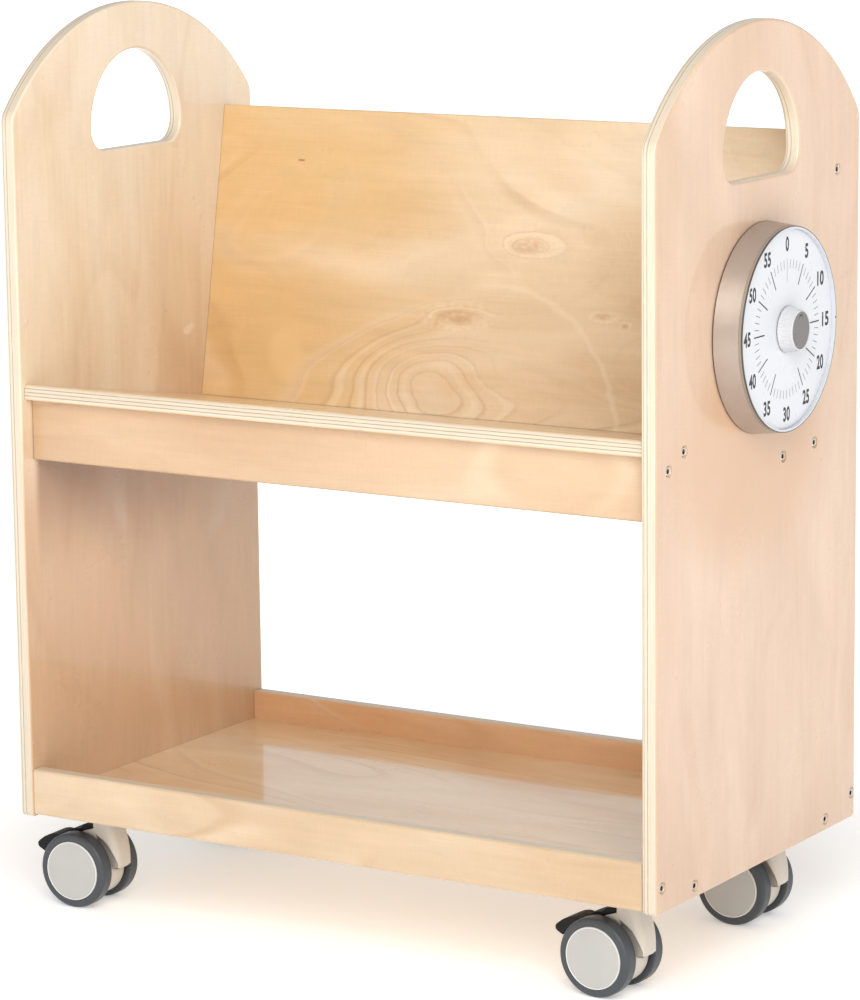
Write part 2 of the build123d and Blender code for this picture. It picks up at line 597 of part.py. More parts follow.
def plate_screw(gap=0.0):
    """One pan-head wood screw under a caster plate, pointing up, or its hole if a gap is given."""
    seat = LOWER_SHELF_BOTTOM - PLATE_THICKNESS
    shank = rod((0, 0, seat), (0, 0, 1), PLATE_SCREW_RADIUS + gap, PLATE_SCREW_LENGTH + 4 * gap)
    if gap:
        return shank
    underside = seat - PLATE_SCREW_HEAD_HEIGHT
    head = rod((0, 0, underside), (0, 0, 1), PLATE_SCREW_HEAD_RADIUS, PLATE_SCREW_HEAD_HEIGHT)
    head = fillet(head.edges().group_by(Axis.Z)[0], PLATE_SCREW_HEAD_HEIGHT / 2)
    long, wide, deep = PLATE_SCREW_SLOT
    slots = Pos(0, 0, underside) * (Box(long, wide, deep) + Box(wide, long, deep))
    return head + shank - slots


def caster_screws(gap=0.0):
    """The four screws of every caster plate."""
    screws = []
    for side_x, side_y, _, _ in CASTERS.values():
        for x, y in PLATE_HOLES:
            place = Pos(side_x * KINGPIN_X + x, side_y * KINGPIN_Y + y, 0)
            screws.append(place * plate_screw(gap))
    return screws


# ---------------------------------------------------------------- timer
# The timer is turned about an axis along +X through (HALF_WIDTH, 0, TIMER_Z).
TIMER_CENTRE = (HALF_WIDTH, 0, TIMER_Z)
TIMER_SCREW_CIRCLE = 60.0       # pitch circle radius of the mounting screws
TIMER_SCREW_RADIUS = 1.8
TIMER_SCREW_LENGTH = 14.0
TIMER_SCREW_HEAD_RADIUS = 3.8
TIMER_SCREW_HEAD_DEPTH = 2.2


def timer_ring(points):
    """A timer part turned from (distance off the panel, radius) points."""
    outline = [(HALF_WIDTH + out, TIMER_Z + radius) for out, radius in points]
    return turned(outline, Axis(TIMER_CENTRE, (1, 0, 0)))


def timer_back_plate():
    """Round plate screwed flat on the side panel, which the drum fits over."""
    radius = TIMER_BACK_RADIUS - TIMER_WALL - 0.6
    plate = rod(TIMER_CENTRE, (1, 0, 0), radius, TIMER_BACK_PLATE)
    return plate - timer_screws(FIT_GAP)


def timer_screws(gap=0.0):
    """Three countersunk screws through the timer's back plate, or their holes if a gap is given."""
    inward = (-1, 0, 0)
    solids = []
    for turn in (90, 210, 330):
        start = (HALF_WIDTH + TIMER_BACK_PLATE,
                 TIMER_SCREW_CIRCLE * cos(radians(turn)),
                 TIMER_Z + TIMER_SCREW_CIRCLE * sin(radians(turn)))
        radius = TIMER_SCREW_RADIUS + gap
        head = cone(start, inward, TIMER_SCREW_HEAD_RADIUS + gap, radius, TIMER_SCREW_HEAD_DEPTH)
        solids.append(head + rod(start, inward, radius, TIMER_SCREW_LENGTH + 4 * gap))
    return solids


def timer_housing():
    """Drum wall that narrows towards the dial, with an inner ledge that carries the dial."""
    front = TIMER_DEPTH - BEZEL_DEPTH
    slope = (TIMER_BACK_RADIUS - TIMER_FRONT_RADIUS) / TIMER_DEPTH
    front_radius = TIMER_BACK_RADIUS - slope * front
    ledge = DIAL_FRONT - DIAL_THICKNESS
    wall = TIMER_WALL
    return timer_ring([
        (0.2, TIMER_BACK_RADIUS - wall), (0.2, TIMER_BACK_RADIUS - 0.6), (0.8, TIMER_BACK_RADIUS),
        (front, front_radius), (front, front_radius - wall),
        (ledge, front_radius - wall), (ledge, front_radius - wall - 4.0),
        (ledge - 2.0, front_radius - wall - 4.0), (ledge - 2.0, front_radius - wall)])


def timer_bezel():
    """Thin front ring round the dial."""
    slope = (TIMER_BACK_RADIUS - TIMER_FRONT_RADIUS) / TIMER_DEPTH
    back = TIMER_DEPTH - BEZEL_DEPTH
    back_radius = TIMER_BACK_RADIUS - slope * back
    inner = TIMER_FRONT_RADIUS - BEZEL_WIDTH
    ring = timer_ring([(back, back_radius - 0.3), (TIMER_DEPTH, TIMER_FRONT_RADIUS - 0.3),
                       (TIMER_DEPTH, inner), (back, inner)])
    return ring


def timer_dial():
    """Flat dial plate, bored for the spindle."""
    radius = TIMER_FRONT_RADIUS - BEZEL_WIDTH - 0.2
    start = (HALF_WIDTH + DIAL_FRONT - DIAL_THICKNESS, 0, TIMER_Z)
    dial = rod(start, (1, 0, 0), radius, DIAL_THICKNESS)
    return dial - rod(start, (1, 0, 0), SPINDLE_RADIUS + 1.0, DIAL_THICKNESS)


def timer_movement():
    """Wind-up movement in its case behind the dial, standing on the back plate."""
    start = (HALF_WIDTH + TIMER_BACK_PLATE, 0, TIMER_Z)
    depth = DIAL_FRONT - DIAL_THICKNESS - TIMER_BACK_PLATE
    case = rod(start, (1, 0, 0), MOVEMENT_RADIUS, depth)
    flat = 10.0
    for turn in range(0, 360, 90):
        ear = Rot(turn, 0, 0) * block((0, 4.0), (-flat, flat), (MOVEMENT_RADIUS - 2, MOVEMENT_RADIUS + 8))
        case += Pos(*start) * ear
    return case - rod((start[0] + 3, 0, TIMER_Z), (1, 0, 0), SPINDLE_RADIUS + FIT_GAP, depth)


def timer_spindle():
    """Steel shaft from the movement to the knob."""
    start = HALF_WIDTH + TIMER_BACK_PLATE + 4.0
    return rod((start, 0, TIMER_Z), (1, 0, 0), SPINDLE_RADIUS,
               HALF_WIDTH + KNOB_REACH - CAP_THICKNESS - 3.0 - start)


def timer_knob():
    """Tapered finger knob with a seat for its cap and a bore for the spindle."""
    base = DIAL_FRONT + KNOB_GAP
    bore = SPINDLE_RADIUS + 0.01
    seat = KNOB_REACH - CAP_THICKNESS
    return timer_ring([
        (base, bore), (base, KNOB_BASE_RADIUS - 0.5), (base + 0.8, KNOB_BASE_RADIUS),
        (KNOB_REACH - 0.6, KNOB_FRONT_RADIUS + 0.1), (KNOB_REACH, KNOB_FRONT_RADIUS - 0.4),
        (KNOB_REACH, CAP_RADIUS + 0.05), (seat, CAP_RADIUS + 0.05), (seat, 0.0),
        (seat - 3.0, 0.0), (seat - 3.0, bore)])


def timer_knob_cap():
    """Round cap let into the knob's front."""
    start = (HALF_WIDTH + KNOB_REACH - CAP_THICKNESS, 0, TIMER_Z)
    cap = rod(start, (1, 0, 0), CAP_RADIUS, CAP_THICKNESS - 0.3)
    return fillet(cap.edges().group_by(Axis.X)[-1], 0.4)


# ---------------------------------------------------------------- the whole cart
def body_nodes():
    """Plywood body, its joinery and the timer."""
    return {
        "side_panel_left": side_panel(-1),
        "side_panel_right": side_panel(1),
        "upper_shelf": upper_shelf(),
        "back_panel": back_panel(),
        "upper_apron": upper_apron(),
        "lower_shelf": lower_shelf(),
        "lower_front_lip": lip(FRONT_LIP_FRONT),
        "lower_rear_lip": lip(REAR_LIP_BACK - BOARD),
        "side_screws": side_screws(),
        "wooden_dowels": wooden_dowels(),
        "caster_screws": caster_screws(),
        "timer_back_plate": timer_back_plate(),
        "timer_screws": timer_screws(),
        "timer_housing": timer_housing(),
        "timer_bezel": timer_bezel(),
        "timer_dial": timer_dial(),
        "timer_movement": timer_movement(),
        "timer_spindle": timer_spindle(),
        "timer_knob": timer_knob(),
        "timer_knob_cap": timer_knob_cap(),
    }


def caster_nodes():
    """The pieces of all four casters, each moved to its corner."""
    shared = {
        "kingpin": kingpin(),
        "axle": axle(),
        "hub_outer": wheel_hub(-1),
        "hub_inner": wheel_hub(1),
        "tyre_outer": tyre(-1),
        "tyre_inner": tyre(1),
    }
    nodes = {}
    for name, (side_x, side_y, _, braked) in CASTERS.items():
        place = caster_location(name)
        pieces = dict(shared, housing=caster_housing(braked))
        if braked:
            pieces["brake_pedal"] = brake_pedal()
            pieces["pedal_pin"] = pedal_pin()
        for piece, solid in pieces.items():
            nodes[f"{name}_{piece}"] = place * solid
        upright = Pos(side_x * KINGPIN_X, side_y * KINGPIN_Y, 0)
        nodes[f"{name}_caster_plate"] = upright * caster_plate()
        nodes[f"{name}_swivel_bearing"] = upright * swivel_bearing()
    return nodes


def main():
    """Write one STEP file for each node."""
    nodes = body_nodes() | caster_nodes()
    boxes = [Compound(children=list(solid)).bounding_box() if isinstance(solid, list)
             else solid.bounding_box() for solid in nodes.values()]
    low = min(box.min.X for box in boxes)
    high = max(box.max.X for box in boxes)
    shift = -(low + high) / 2
    os.makedirs("parts", exist_ok=True)
    for name, solid in nodes.items():
        solids = solid if isinstance(solid, list) else [solid]
        moved = [Pos(shift, 0, 0) * item for item in solids]
        export_step(moved[0] if len(moved) == 1 else Compound(children=moved), f"parts/{name}.step")
    print(len(nodes), "nodes, body moved along X by", shift)


main()
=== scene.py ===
"""The looks of the book cart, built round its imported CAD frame.

Metres, in the frame of the CAD model: +X points to the side panel that carries the timer, +Y from
the open front to the back and +Z up.
"""
import json
from math import atan2, cos, exp, pi, radians, sin

import bpy
from mathutils import Matrix, Vector


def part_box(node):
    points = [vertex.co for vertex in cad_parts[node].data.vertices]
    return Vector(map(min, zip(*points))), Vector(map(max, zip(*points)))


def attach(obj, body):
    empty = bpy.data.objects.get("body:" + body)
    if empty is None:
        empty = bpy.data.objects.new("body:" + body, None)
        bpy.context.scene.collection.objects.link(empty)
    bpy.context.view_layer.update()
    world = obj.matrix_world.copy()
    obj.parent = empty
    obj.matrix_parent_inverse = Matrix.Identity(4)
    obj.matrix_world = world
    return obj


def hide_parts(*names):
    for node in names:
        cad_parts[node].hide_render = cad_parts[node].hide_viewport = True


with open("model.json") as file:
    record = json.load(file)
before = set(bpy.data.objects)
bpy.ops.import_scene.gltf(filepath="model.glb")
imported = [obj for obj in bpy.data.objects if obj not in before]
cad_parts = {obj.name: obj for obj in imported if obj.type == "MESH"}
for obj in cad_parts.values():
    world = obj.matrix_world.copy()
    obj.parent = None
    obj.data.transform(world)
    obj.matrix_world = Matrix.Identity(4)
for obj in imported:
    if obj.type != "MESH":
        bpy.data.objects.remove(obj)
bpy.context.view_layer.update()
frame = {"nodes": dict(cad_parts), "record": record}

NODES = frame["nodes"]
MOUNTS = {mount["name"]: mount for mount in frame["record"]["mounts"]}
JOINTS = {joint["name"]: joint for joint in frame["record"]["behaviour"]["joints"]}
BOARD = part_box("lower_shelf")[1].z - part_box("lower_shelf")[0].z
MM = 0.001

# The sloping shelf: a point on its top, its tilt about X, and how far down the slope its back end is.
SHELF_POINT = Vector(MOUNTS["display_shelf_face"]["pos_m"])
SHELF_NORMAL = Vector(MOUNTS["display_shelf_face"]["axis"])
TILT = atan2(SHELF_NORMAL.y, SHELF_NORMAL.z)
SHELF_TO_BACK = (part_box("upper_shelf")[1].y - SHELF_POINT.y) / cos(TILT)


def colour(code):
    """A hex sRGB colour as the linear RGBA that shaders use."""
    channels = [int(code[start:start + 2], 16) / 255 for start in (0, 2, 4)]
    linear = [c / 12.92 if c <= 0.04045 else ((c + 0.055) / 1.055) ** 2.4 for c in channels]
    return (*linear, 1.0)


# ---------------------------------------------------------------- node materials
class Shader:
    """A Principled material. Each method adds one node and returns its output."""

    def __init__(self, name):
        self.material = bpy.data.materials.new(name)
        self.material.use_nodes = True
        self.tree = self.material.node_tree
        self.tree.nodes.clear()
        self.principled = self.add("ShaderNodeBsdfPrincipled")
        output = self.add("ShaderNodeOutputMaterial")
        self.tree.links.new(self.principled.outputs["BSDF"], output.inputs["Surface"])

    def add(self, kind, inputs=None, **settings):
        node = self.tree.nodes.new(kind)
        for key, value in settings.items():
            setattr(node, key, value)
        for key, value in (inputs or {}).items():
            self.feed(node.inputs[key], value)
        return node

    def feed(self, socket, value):
        if isinstance(value, bpy.types.NodeSocket):
            self.tree.links.new(value, socket)
        else:
            socket.default_value = value

    def surface(self, inputs):
        """Sets the Principled shader's own inputs."""
        for key, value in inputs.items():
            self.feed(self.principled.inputs[key], value)
        return self.material

    def place(self):
        return self.add("ShaderNodeTexCoord").outputs["Object"]

    def math(self, operation, a, b=0.0):
        return self.add("ShaderNodeMath", {0: a, 1: b}, operation=operation).outputs[0]

    def vector(self, operation, a, b):
        return self.add("ShaderNodeVectorMath", {0: a, 1: b}, operation=operation).outputs[0]

    def length(self, a):
        return self.add("ShaderNodeVectorMath", {0: a}, operation="LENGTH").outputs["Value"]

    def split(self, vector):
        return self.add("ShaderNodeSeparateXYZ", {0: vector}).outputs

    def join(self, x, y, z):
        return self.add("ShaderNodeCombineXYZ", {0: x, 1: y, 2: z}).outputs[0]

    def noise(self, vector, scale=1.0, detail=2.0, roughness=0.5, distortion=0.0):
        """Noise from 0 to 1. The scale is one number, or one for each axis."""
        if isinstance(scale, tuple):
            vector, scale = self.vector("MULTIPLY", vector, scale), 1.0
        inputs = {"Vector": vector, "Scale": scale, "Detail": detail, "Roughness": roughness,
                  "Distortion": distortion}
        return self.add("ShaderNodeTexNoise", inputs).outputs["Fac"]

    def spread(self, value, low, high, to_low=0.0, to_high=1.0, smooth=True):
        """Maps low..high to to_low..to_high, clamped."""
        kind = "SMOOTHSTEP" if smooth else "LINEAR"
        inputs = {"Value": value, "From Min": low, "From Max": high, "To Min": to_low, "To Max": to_high}
        return self.add("ShaderNodeMapRange", inputs, interpolation_type=kind).outputs[0]

    def band(self, value, middle, half_width):
        """1 where a value is near the middle, falling to 0 half a width away."""
        gap = self.math("ABSOLUTE", self.math("SUBTRACT", value, middle))
        return self.spread(gap, 0.0, half_width, 1.0, 0.0)

    def mix(self, factor, a, b, blend="MIX"):
        node = self.add("ShaderNodeMix", data_type="RGBA", blend_type=blend)
        for index, value in ((0, factor), (6, a), (7, b)):
            self.feed(node.inputs[index], value)
        return node.outputs[2]

    def shade(self, base, amount):
        """A colour made darker or lighter by a factor round 1."""
        grey = self.join(amount, amount, amount)
        return self.mix(1.0, base, grey, "MULTIPLY")

    def ramp(self, value, stops):
        """A colour ramp through (position, colour) stops."""
        node = self.add("ShaderNodeValToRGB", {0: value})
        elements = node.color_ramp.elements
        while len(elements) < len(stops):
            elements.new(0.5)
        for element, (position, rgba) in zip(elements, stops):
            element.position = position
            element.color = rgba
        return node.outputs[0]

    def bump(self, height, distance, strength, normal=None):
        inputs = {"Height": height, "Distance": distance, "Strength": strength}
        if normal is not None:
            inputs["Normal"] = normal
        return self.add("ShaderNodeBump", inputs).outputs[0]

    def crevices(self, tone, reach, darkest):
        """Paints shade onto a colour where other surfaces stand close to it, as in recesses and gaps."""
        openness = self.add("ShaderNodeAmbientOcclusion", {"Distance": reach}, samples=8).outputs["AO"]
        return self.shade(tone, self.spread(openness, 0.15, 0.85, darkest, 1.0))

    def soft_edges(self, radius):
        """A normal that rounds sharp edges by a small radius."""
        return self.add("ShaderNodeBevel", {"Radius": radius}, samples=4).outputs[0]


# ---------------------------------------------------------------- plywood
VENEER = 1.3 * MM               # outer veneer
PLY_LINE = 0.05                 # half a cross ply's line, as a share of the thickness
SHELF_PLIES = ((0.27, 1.0), (0.50, 1.0), (0.73, 1.0))    # (share of the thickness, strength)
PANEL_PLIES = ((0.20, 0.8), (0.43, 1.0), (0.66, 0.15), (0.84, 0.2))
LIP_PLIES = ((0.30, 0.5), (0.62, 0.5))


def board_place(s, node, axes, tilted):
    """Board coordinates: X along the grain, Y across it, Z through the thickness from its middle.

    tilted is for the boards on the slope: their middle, measured from the sloping shelf's point
    along its tilted axes.
    """
    point = s.place()
    low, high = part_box(node)
    middle = (low + high) / 2
    if tilted:
        inputs = {"Vector": point, "Center": SHELF_POINT, "Angle": TILT}
        point = s.add("ShaderNodeVectorRotate", inputs, rotation_type="X_AXIS").outputs[0]
        middle = SHELF_POINT + Vector(tilted)
    parts = dict(zip("xyz", s.split(s.vector("SUBTRACT", point, middle))))
    return s.join(*(parts[axis] for axis in axes))


def largest(s, values):
    """The largest of several values."""
    result = values[0]
    for value in values[1:]:
        result = s.math("MAXIMUM", result, value)
    return result


def round_spot(s, along, across, spot):
    """Coordinates from a spot's middle, in which the line of its ellipse lies at a radius of 1."""
    at_along, at_across, half_length, half_height = spot
    u = s.math("DIVIDE", s.math("SUBTRACT", along, at_along), half_length)
    v = s.math("DIVIDE", s.math("SUBTRACT", across, at_across), half_height)
    return u, v


def pull_towards(s, along, across, spot):
    """1 at the heart of a spot in the figure, falling to 0 round it."""
    u, v = round_spot(s, along, across, spot)
    squared = s.math("ADD", s.math("MULTIPLY", u, u), s.math("MULTIPLY", v, v))
    return s.math("POWER", exp(-1), squared)


def arc_band(s, along, across, arc):
    """1 along the upper right part of an ellipse's line, falling to 0 a few millimetres from it."""
    u, v = round_spot(s, along, across, arc)
    radius = s.length(s.join(u, v, 0.0))
    upper_right = s.math("MULTIPLY", s.spread(u, -0.25, 0.0), s.spread(v, -0.1, 0.1))
    return s.math("MULTIPLY", s.band(radius, 1.0, 0.035), upper_right)


def rings(s, field, count, width):
    """Thin contour lines of a field: 1 on each line."""
    wave = s.math("FRACT", s.math("MULTIPLY", field, count))
    crest = 1.0 - 0.25 * width
    return s.math("MULTIPLY", s.spread(wave, 1.0 - width, crest), s.spread(wave, crest, 1.0, 1.0, 0.0))


def ground_tone(s, along, drift, tones, sweep):
    """Three tones that drift into each other, and a fourth that takes over towards one end."""
    stops = zip((0.30, 0.47, 0.66), tones)
    tone = s.ramp(drift, [(position, colour(code)) for position, code in stops])
    if sweep:
        start, end, code = sweep
        reach = s.math("ADD", along, s.math("MULTIPLY", s.math("SUBTRACT", drift, 0.5), 0.5))
        tone = s.mix(s.spread(reach, start, end, 1.0, 0.0), tone, colour(code))
    return tone


def contour_lines(s, shifted, field, tone, count, strength):
    """Dark and pale rings that follow the figure and fade out in patches."""
    patches = s.noise(shifted, (3.4, 8.0, 1.0), 2.0)
    presence = s.spread(patches, 0.40, 0.62, 0.15, 1.0)
    dark_rings = s.math("MULTIPLY", rings(s, field, count, 0.34), presence)
    pale_rings = s.math("MULTIPLY", rings(s, field, count * 0.77, 0.5), presence)
    tone = s.mix(s.math("MULTIPLY", dark_rings, 0.26 * strength), tone, colour("AD7F52"))
    return s.mix(s.math("MULTIPLY", pale_rings, 0.22 * strength), tone, colour("F1E0C6"))


def fine_grain(s, shifted, fibre, tone):
    """Fibres, streaks, blotches, ray flecks and pores, each a slight change of tone."""
    streaks = s.noise(shifted, (7.0, 150.0, 1.0), 4.0, 0.65)
    blotches = s.noise(shifted, (9.0, 30.0, 1.0), 4.0, 0.62, 0.8)
    ray_flecks = s.noise(shifted, (420.0, 60.0, 1.0), 2.0, 0.6)
    pores = s.noise(shifted, (90.0, 1500.0, 1.0), 1.0)
    for amount in (
        s.spread(fibre, 0.25, 0.75, 0.960, 1.03, smooth=False),
        s.spread(streaks, 0.25, 0.75, 0.96, 1.03, smooth=False),
        s.spread(blotches, 0.3, 0.7, 0.955, 1.04, smooth=False),
        s.spread(ray_flecks, 0.3, 0.7, 0.978, 1.018, smooth=False),
        s.spread(pores, 0.70, 0.78, 1.0, 0.86),
    ):
        tone = s.shade(tone, amount)
    return tone


def eye_marks(s, shifted, hearts, tone):
    """A pale halo and a browner core round the heart of each eye."""
    pull = largest(s, hearts)
    mottle = s.noise(shifted, (160.0, 240.0, 1.0), 3.0)
    halo = s.math("MULTIPLY", s.band(pull, 0.40, 0.35), s.spread(mottle, 0.36, 0.66))
    tone = s.mix(s.math("MULTIPLY", halo, 0.35), tone, colour("ECD6B6"))
    core = s.math("MULTIPLY", s.spread(pull, 0.55, 0.95), s.spread(mottle, 0.30, 0.62, 0.3, 1.0))
    return s.mix(s.math("MULTIPLY", core, 0.5), tone, colour("BC8A60"))


def veneer(s, place, seed, tones, count=9.0, figure=1.0, eyes=(), swirls=(), flecks=(), sweep=None,
           arcs=()):
    """Rotary-cut birch: its colour, and its fibres for the relief.

    count and figure are how many contour rings there are and how strongly they show. Eyes, swirls,
    arcs and flecks are spots (along, across, half length, half height) in metres from the board's
    middle, and a fleck's colour comes after them. sweep is (start, end, colour) of an end's tone.
    """
    along, across, _ = s.split(place)
    shifted = s.vector("ADD", s.join(along, across, 0.0), (seed * 3.1, seed * 1.7, seed))
    stir = s.noise(shifted, (22.0, 34.0, 1.0), 3.0)
    stir = s.math("MULTIPLY", s.math("SUBTRACT", stir, 0.5), 16 * MM)
    warped = s.math("ADD", along, stir), s.math("ADD", across, s.math("MULTIPLY", stir, 0.5))
    drift = s.noise(shifted, (2.6, 6.5, 1.0), 3.0, 0.55, 0.6)
    fibre = s.noise(shifted, (14.0, 900.0, 1.0), 3.0, 0.6)
    field = s.noise(shifted, (1.8, 5.4, 1.0), 1.2, 0.4, 0.6)
    hearts = [pull_towards(s, *warped, eye) for eye in eyes]
    for pull in hearts:
        field = s.math("ADD", field, s.math("MULTIPLY", pull, 0.14))
    for swirl in swirls:
        field = s.math("ADD", field, s.math("MULTIPLY", pull_towards(s, *warped, swirl), 0.32))
    tone = ground_tone(s, along, drift, tones, sweep)
    tone = contour_lines(s, shifted, field, tone, count, figure)
    tone = fine_grain(s, shifted, fibre, tone)
    if hearts:
        tone = eye_marks(s, shifted, hearts, tone)
    for arc in arcs:
        streak = s.math("MULTIPLY", arc_band(s, *warped, arc), 0.35)
        tone = s.mix(streak, tone, colour("EBD8BA"))
    for *spot, code in flecks:
        pull = pull_towards(s, *warped, spot)
        tone = s.mix(s.math("MULTIPLY", s.spread(pull, 0.35, 0.8), 0.7), tone, colour(code))
    return tone, fibre


def ply_edge(s, place, seed, plies):
    """The cut edge: cream plies with thin, greyer cross plies between them."""
    through = s.split(place)[2]
    ripple = s.noise(place, (45.0, 45.0, 8.0), 2.0)
    wavy = s.math("ADD", through, s.math("MULTIPLY", s.math("SUBTRACT", ripple, 0.5), 0.5 * MM))
    share = s.math("ADD", s.math("DIVIDE", wavy, BOARD), 0.5)
    streaks = s.noise(place, (18.0, 18.0, 2200.0), 3.0, 0.6)
    cream = s.ramp(streaks, [(0.25, colour("CBBBA4")), (0.5, colour("D4C6B0")), (0.75, colour("DCD1BE"))])
    lines = largest(s, [s.math("MULTIPLY", s.band(share, ply, PLY_LINE), strength)
                        for ply, strength in plies])
    broken = s.noise(place, (60.0, 60.0, 260.0), 3.0)
    lines = s.math("MULTIPLY", lines, s.spread(broken, 0.25, 0.5, 0.5, 1.0))
    tint = s.spread(s.noise(place, (9.0, 9.0, 240.0 + seed), 2.0), 0.3, 0.7)
    return s.mix(s.math("MULTIPLY", lines, 0.9), cream, s.mix(tint, colour("94806A"), colour("8C806C")))


def darker_band(s, parts, face, end, width, start_across, code):
    """Painted shade in a darker band across the board's +Z face, strongest at its end along the grain."""
    band = s.spread(parts[2], 0.0, MM)
    for limit in (
        s.spread(parts[0], end - width, end),
        s.spread(parts[0], end, end + 8 * MM, 1.0, 0.0),
        s.spread(parts[1], start_across, start_across + 12 * MM),
    ):
        band = s.math("MULTIPLY", band, limit)
    return s.mix(s.math("MULTIPLY", band, 0.85), face, colour(code))


def seam_lines(s, parts, base, seams):
    """Fine dark lines where the board butts against another one, at (axis, distance): a painted joint
    line with painted contact shade in it.
    """
    for axis, reach in seams:
        side = 1.0 if reach > 0 else -1.0
        gap = s.math("SUBTRACT", abs(reach), s.math("MULTIPLY", parts[axis], side))
        base = s.shade(base, s.spread(gap, 0.3 * MM, 1.1 * MM, 0.62, 1.0))
    return base


def plywood(node, axes, seed, tones, plies=SHELF_PLIES, shade_band=None, tilted=None, gloss=0.26,
            coat=0.4, seams=(), **cut):
    """Lacquered birch plywood for one board: veneer on its two faces, plies round its edges.

    axes are the world axes along the grain, across it and through the thickness. cut is what
    veneer takes besides the tones.
    """
    s = Shader(f"plywood_{node}")
    place = board_place(s, node, axes, tilted)
    parts = s.split(place)
    face, fibre = veneer(s, place, seed, tones, **cut)
    if shade_band:
        face = darker_band(s, parts, face, *shade_band)
    depth = s.math("SUBTRACT", BOARD / 2, s.math("ABSOLUTE", parts[2]))
    inside = s.spread(depth, VENEER * 0.85, VENEER)
    base = s.mix(inside, face, ply_edge(s, place, seed, plies))
    rub = s.noise(place, 9.0, 4.0, 0.6)
    height = s.math("ADD", fibre, s.math("MULTIPLY", inside, s.noise(place, 900.0, 3.0)))
    return s.surface({
        "Base Color": seam_lines(s, parts, base, seams),
        "Roughness": s.spread(rub, 0.3, 0.7, gloss, gloss + 0.12),
        "Specular IOR Level": 0.45,
        "Coat Weight": coat,
        "Coat Roughness": 0.06,
        "Normal": s.bump(height, 0.04 * MM, 0.4),
    })


# ---------------------------------------------------------------- other materials
def moulded(name, code, roughness=0.45, grain=1400.0, drift=0.05, relief=0.02, specular=0.4,
            soft_edge=0.0, crevice_shade=None, tone_change=None):
    """Moulded plastic or rubber: a fine grained skin with a slight drift of tone and gloss."""
    s = Shader(name)
    place = s.place()
    cloud = s.noise(place, 38.0, 4.0, 0.6)
    skin = s.noise(place, grain, 2.0, 0.5)
    tone = s.shade(colour(code), s.spread(cloud, 0.3, 0.7, 1.0 - drift, 1.0 + drift, smooth=False))
    if tone_change:
        tone = tone_change(s, place, tone)
    if crevice_shade:
        tone = s.crevices(tone, *crevice_shade)
    gloss = s.spread(cloud, 0.3, 0.7, roughness - 0.05, roughness + 0.07, smooth=False)
    normal = s.soft_edges(soft_edge) if soft_edge else None
    return s.surface({
        "Base Color": tone,
        "Roughness": gloss,
        "Specular IOR Level": specular,
        "Normal": s.bump(skin, relief * MM, 0.6, normal),
    })


def metal(name, code, roughness=0.3, stretch=(600.0, 600.0, 600.0), scratch=0.10, metallic=1.0,
          crevice_shade=None, tone_change=None):
    """Plated or brushed metal with fine scratches and a faint bloom."""
    s = Shader(name)
    place = s.place()
    lines = s.noise(place, stretch, 3.0, 0.6)
    bloom = s.noise(place, 60.0, 4.0, 0.6)
    tone = s.shade(colour(code), s.spread(bloom, 0.3, 0.7, 0.94, 1.04, smooth=False))
    if tone_change:
        tone = tone_change(s, place, tone)
    if crevice_shade:
        tone = s.crevices(tone, *crevice_shade)
    gloss = s.spread(lines, 0.25, 0.75, roughness - scratch / 2, roughness + scratch, smooth=False)
    return s.surface({
        "Base Color": tone,
        "Metallic": metallic,
        "Roughness": gloss,
        "Normal": s.bump(lines, 0.01 * MM, 0.4),
    })


def dowel_wood():
    """Raw beech with short dark flecks along the grain."""
    s = Shader("dowel_wood")
    fibre = s.noise(s.place(), (60.0, 900.0, 900.0), 3.0)
    tone = s.ramp(fibre, [(0.3, colour("C79A68")), (0.7, colour("E2C095"))])
    return s.surface({"Base Color": tone, "Roughness": 0.6, "Normal": s.bump(fibre, 0.05 * MM, 0.4)})


def assign(node, material):
    """Gives a CAD node one material."""
    mesh = NODES[node].data
    mesh.materials.clear()
    mesh.materials.append(material)


# ---------------------------------------------------------------- camera, lights and floor
# The camera, solved from the cart's edges in the photo.
CAMERA_PLACE = (1.99872, -3.20985, 1.12166)
CAMERA_AZIMUTH = radians(32.058)
CAMERA_ELEVATION = radians(10.619)
CAMERA_ROLL = radians(-0.674)
SENSOR_WIDTH = 36.0             # mm
FOCAL_LENGTH = 143.99           # mm

SKY_LOW, SKY_HIGH = 0.72, 0.48  # strength at the horizon and overhead
FLOOR_REACH = 40.0              # half the floor's width
FLOOR_TONE = (0.92, 0.92, 0.92, 1.0)
WHITE = (1.0, 1.0, 1.0, 1.0)


def make_camera():
    """A long lens from the front right, a little above the cart."""
    right = Vector((cos(CAMERA_AZIMUTH), sin(CAMERA_AZIMUTH), 0.0))
    back = Vector((sin(CAMERA_AZIMUTH) * cos(CAMERA_ELEVATION),
                   -cos(CAMERA_AZIMUTH) * cos(CAMERA_ELEVATION), sin(CAMERA_ELEVATION)))
    up = back.cross(right)
    cam_x = right * cos(CAMERA_ROLL) + up * sin(CAMERA_ROLL)
    cam_y = up * cos(CAMERA_ROLL) - right * sin(CAMERA_ROLL)
    data = bpy.data.cameras.new("camera")
    data.sensor_width = SENSOR_WIDTH
    data.lens = FOCAL_LENGTH
    data.clip_end = 100.0
    camera = bpy.data.objects.new("camera", data)
    turned = Matrix((cam_x, cam_y, back)).transposed().to_4x4()
    camera.matrix_world = Matrix.Translation(CAMERA_PLACE) @ turned
    bpy.context.scene.collection.objects.link(camera)
    bpy.context.scene.camera = camera


def area_light(name, place, target, size, power, tint):
    """A square soft box that points at a target."""
    data = bpy.data.lights.new(name, "AREA")
    data.size = size
    data.energy = power
    data.color = colour(tint)[:3]
    light = bpy.data.objects.new(name, data)
    light.location = place
    light.rotation_euler = (Vector(target) - Vector(place)).to_track_quat("-Z", "Y").to_euler()
    bpy.context.scene.collection.objects.link(light)


